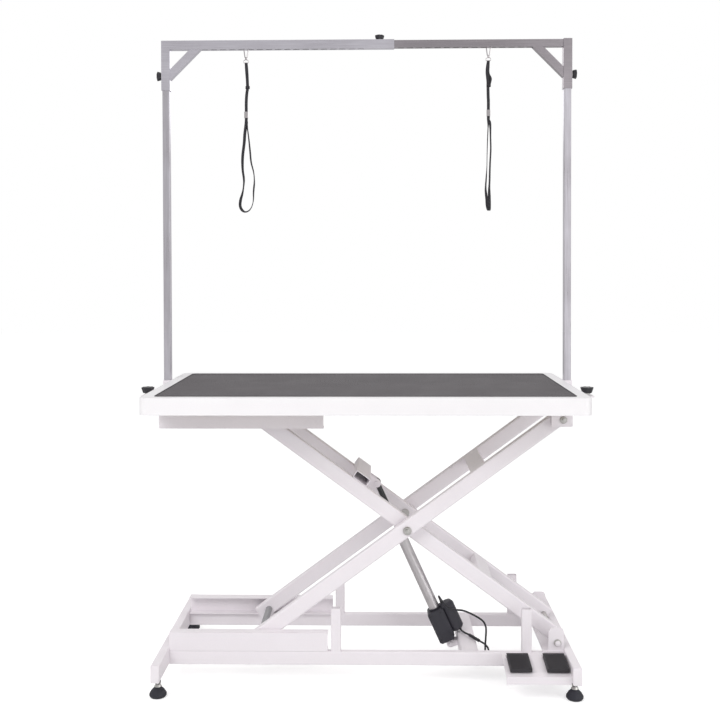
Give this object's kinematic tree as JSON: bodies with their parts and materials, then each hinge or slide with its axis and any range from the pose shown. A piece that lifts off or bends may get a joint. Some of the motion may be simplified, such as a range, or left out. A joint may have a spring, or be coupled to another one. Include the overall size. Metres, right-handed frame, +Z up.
{
  "type": "electric lift grooming table",
  "caption": "White scissor-lift grooming table with a ribbed mat top, electric actuator, foot pedals, steel overhead arch and two hanging grooming loops.",
  "frame": {"origin": "on the floor, under the middle of the table top", "axes": "+X along the table's length towards the pedals' end, +Y from the pedals' side to the arch's side, +Z up"},
  "size_m": [1.437, 0.64, 1.9565],
  "materials": {
    "white_powder_coat": "smooth white powder coat, satin",
    "white_edging": "smooth white edging, semi-gloss",
    "brushed_steel": "brushed stainless steel",
    "aluminium_tube": "satin anodised",
    "black_plastic": "matt black moulding",
    "roller_nylon": "grey nylon",
    "ribbed_rubber": "ribbed anti-slip rubber",
    "board_underside": "sealed board",
    "black_webbing": "woven nylon webbing"
  },
  "bodies": {
    "base": {"end_beam_left": "white_powder_coat", "end_beam_right": "white_powder_coat", "front_rail": "white_powder_coat", "rear_rail": "white_powder_coat", "actuator_cross_tube": "white_powder_coat", "base_pivot_bracket": "white_powder_coat", "base_pivot_shaft": "brushed_steel", "base_track_front": "white_powder_coat", "base_track_rear": "white_powder_coat", "pedal_plate": "white_powder_coat", "control_box": "black_plastic", "motor_cable": "black_plastic", "control_cable": "black_plastic", "control_lead": "black_plastic", "cable_connector": "black_plastic"},
    "inner_frame": {"inner_arm_front": "white_powder_coat", "inner_arm_rear": "white_powder_coat", "inner_cross_tube": "white_powder_coat", "clevis_cross_tube": "white_powder_coat", "centre_bolt_front": "brushed_steel", "centre_bolt_rear": "brushed_steel"},
    "outer_frame": {"outer_arm_front": "white_powder_coat", "outer_arm_rear": "white_powder_coat", "outer_cross_tube": "white_powder_coat"},
    "base_roller": {"base_roller_axle": "roller_nylon"},
    "table_roller": {"table_roller_axle": "roller_nylon"},
    "table": {"table_rim": "white_edging", "table_panel": "board_underside", "rubber_mat": "ribbed_rubber", "table_track_front": "white_powder_coat", "table_track_rear": "white_powder_coat", "table_pivot_bracket": "white_powder_coat", "table_pivot_shaft": "brushed_steel", "arch_clamp_left": "white_powder_coat", "post_left": "brushed_steel"},
    "right_post": {"arch_clamp_right": "white_powder_coat", "post_right": "brushed_steel"},
    "arch_left_half": {"arch_left": "brushed_steel"},
    "arch_right_half": {"arch_right": "brushed_steel"},
    "left_clamp_knob": {"clamp_knob_left": "black_plastic"},
    "right_clamp_knob": {"clamp_knob_right": "black_plastic"},
    "left_height_knob": {"height_knob_left": "black_plastic"},
    "right_height_knob": {"height_knob_right": "black_plastic"},
    "width_knob": {"width_knob": "black_plastic"},
    "left_hook": {"hook_left": "brushed_steel"},
    "right_hook": {"hook_right": "brushed_steel"},
    "left_strap": {"strap_left": "black_webbing", "strap_slide_left": "brushed_steel"},
    "right_strap": {"strap_right": "black_webbing", "strap_slide_right": "brushed_steel"},
    "actuator_barrel": {"motor_housing": "black_plastic", "actuator_tube": "aluminium_tube"},
    "actuator_rod": {"actuator_rod": "black_plastic"},
    "left_pedal": {"pedal_left": "black_plastic"},
    "right_pedal": {"pedal_right": "black_plastic"},
    "front_left_foot": {"levelling_foot_front_left": "black_plastic"},
    "rear_left_foot": {"levelling_foot_rear_left": "black_plastic"},
    "front_right_foot": {"levelling_foot_front_right": "black_plastic"},
    "rear_right_foot": {"levelling_foot_rear_right": "black_plastic"}
  },
  "joints": [
    {"name": "lift", "type": "hinge", "parent": "base", "child": "inner_frame", "pos_m": [0.5575, 0, 0.12005], "axis": [0, 1, 0], "range_deg": [-32.9, 6]},
    {"name": "centre_pivot", "type": "hinge", "parent": "inner_frame", "child": "outer_frame", "pos_m": [0.12192, 0, 0.43922], "axis": [0, 1, 0], "range_deg": [-12, 65.8]},
    {"name": "table_pivot", "type": "hinge", "parent": "outer_frame", "child": "table", "pos_m": [0.57404, 0, 0.7705], "axis": [0, 1, 0], "range_deg": [-32.9, 6]},
    {"name": "actuator_foot", "type": "hinge", "parent": "base", "child": "actuator_barrel", "pos_m": [0.2577, 0, 0.059], "axis": [0, 1, 0], "range_deg": [-43.28, 7.93], "deforming": ["motor_cable", "control_cable", "control_lead", "cable_connector"]},
    {"name": "rod_stroke", "type": "slide", "parent": "actuator_barrel", "child": "actuator_rod", "axis": [-0.4149, 0, 0.9099], "range_m": [-0.1457, 0.0268]},
    {"name": "base_roller_spin", "type": "hinge", "parent": "outer_frame", "child": "base_roller", "pos_m": [-0.31367, 0, 0.12005], "axis": [0, 1, 0], "continuous": true},
    {"name": "table_roller_spin", "type": "hinge", "parent": "inner_frame", "child": "table_roller", "pos_m": [-0.3302, 0, 0.7705], "axis": [0, 1, 0], "continuous": true},
    {"name": "front_left_foot_height", "type": "slide", "parent": "base", "child": "front_left_foot", "axis": [0, 0, 1], "range_m": [-0.015, 0.0075]},
    {"name": "rear_left_foot_height", "type": "slide", "parent": "base", "child": "rear_left_foot", "axis": [0, 0, 1], "range_m": [-0.015, 0.0075]},
    {"name": "front_right_foot_height", "type": "slide", "parent": "base", "child": "front_right_foot", "axis": [0, 0, 1], "range_m": [-0.015, 0.0075]},
    {"name": "rear_right_foot_height", "type": "slide", "parent": "base", "child": "rear_right_foot", "axis": [0, 0, 1], "range_m": [-0.015, 0.0075]},
    {"name": "left_pedal_press", "type": "hinge", "parent": "base", "child": "left_pedal", "pos_m": [0.437, -0.18746, 0.09351], "axis": [1, 0, 0], "range_deg": [0, 2.5], "stiffness_Nm_per_rad": 6, "springref_deg": -3.44},
    {"name": "right_pedal_press", "type": "hinge", "parent": "base", "child": "right_pedal", "pos_m": [0.541, -0.18746, 0.09351], "axis": [1, 0, 0], "range_deg": [0, 2.5], "stiffness_Nm_per_rad": 6, "springref_deg": -3.44},
    {"name": "arch_height", "type": "slide", "parent": "table", "child": "arch_left_half", "axis": [0, 0, 1], "range_m": [-0.047, 0.025]},
    {"name": "right_post_slide", "type": "slide", "parent": "table", "child": "right_post", "axis": [1, 0, 0], "range_m": [-0.002, 0.015]},
    {"name": "arch_width", "type": "slide", "parent": "arch_left_half", "child": "arch_right_half", "axis": [1, 0, 0], "range_m": [-0.002, 0.015]},
    {"name": "left_clamp_screw", "type": "hinge", "parent": "table", "child": "left_clamp_knob", "pos_m": [-0.697, 0.1, 0.834], "axis": [0, 0, 1], "continuous": true},
    {"name": "right_clamp_screw", "type": "hinge", "parent": "right_post", "child": "right_clamp_knob", "pos_m": [0.697, 0.1, 0.834], "axis": [0, 0, 1], "continuous": true},
    {"name": "left_height_screw", "type": "hinge", "parent": "arch_left_half", "child": "left_height_knob", "pos_m": [-0.65625, 0.148, 1.829], "axis": [1, 0, 0], "continuous": true},
    {"name": "right_height_screw", "type": "hinge", "parent": "arch_right_half", "child": "right_height_knob", "pos_m": [0.65625, 0.148, 1.829], "axis": [1, 0, 0], "continuous": true},
    {"name": "width_screw", "type": "hinge", "parent": "arch_left_half", "child": "width_knob", "pos_m": [0.0436, 0.148, 1.941], "axis": [0, 0, 1], "continuous": true},
    {"name": "left_hook_swing", "type": "hinge", "parent": "arch_left_half", "child": "left_hook", "pos_m": [-0.38525, 0.148, 1.9145], "axis": [0, 1, 0], "range_deg": [-20, 20]},
    {"name": "left_strap_swing", "type": "hinge", "parent": "left_hook", "child": "left_strap", "pos_m": [-0.38525, 0.148, 1.8715], "axis": [1, 0, 0], "range_deg": [-45, 45]},
    {"name": "right_hook_swing", "type": "hinge", "parent": "arch_right_half", "child": "right_hook", "pos_m": [0.39155, 0.148, 1.9168], "axis": [0, 1, 0], "range_deg": [-20, 20]},
    {"name": "right_strap_swing", "type": "hinge", "parent": "right_hook", "child": "right_strap", "pos_m": [0.39155, 0.148, 1.8738], "axis": [1, 0, 0], "range_deg": [-45, 45]}
  ],
  "couplings": [
    {"joint": "centre_pivot", "follows": "lift", "ratio": -2},
    {"joint": "table_pivot", "follows": "lift", "ratio": 1},
    {"joint": "actuator_foot", "follows": "lift", "ratio": 1.314},
    {"joint": "rod_stroke", "follows": "lift", "m_per_rad": 0.2533},
    {"joint": "arch_width", "follows": "right_post_slide", "ratio": 1}
  ]
}
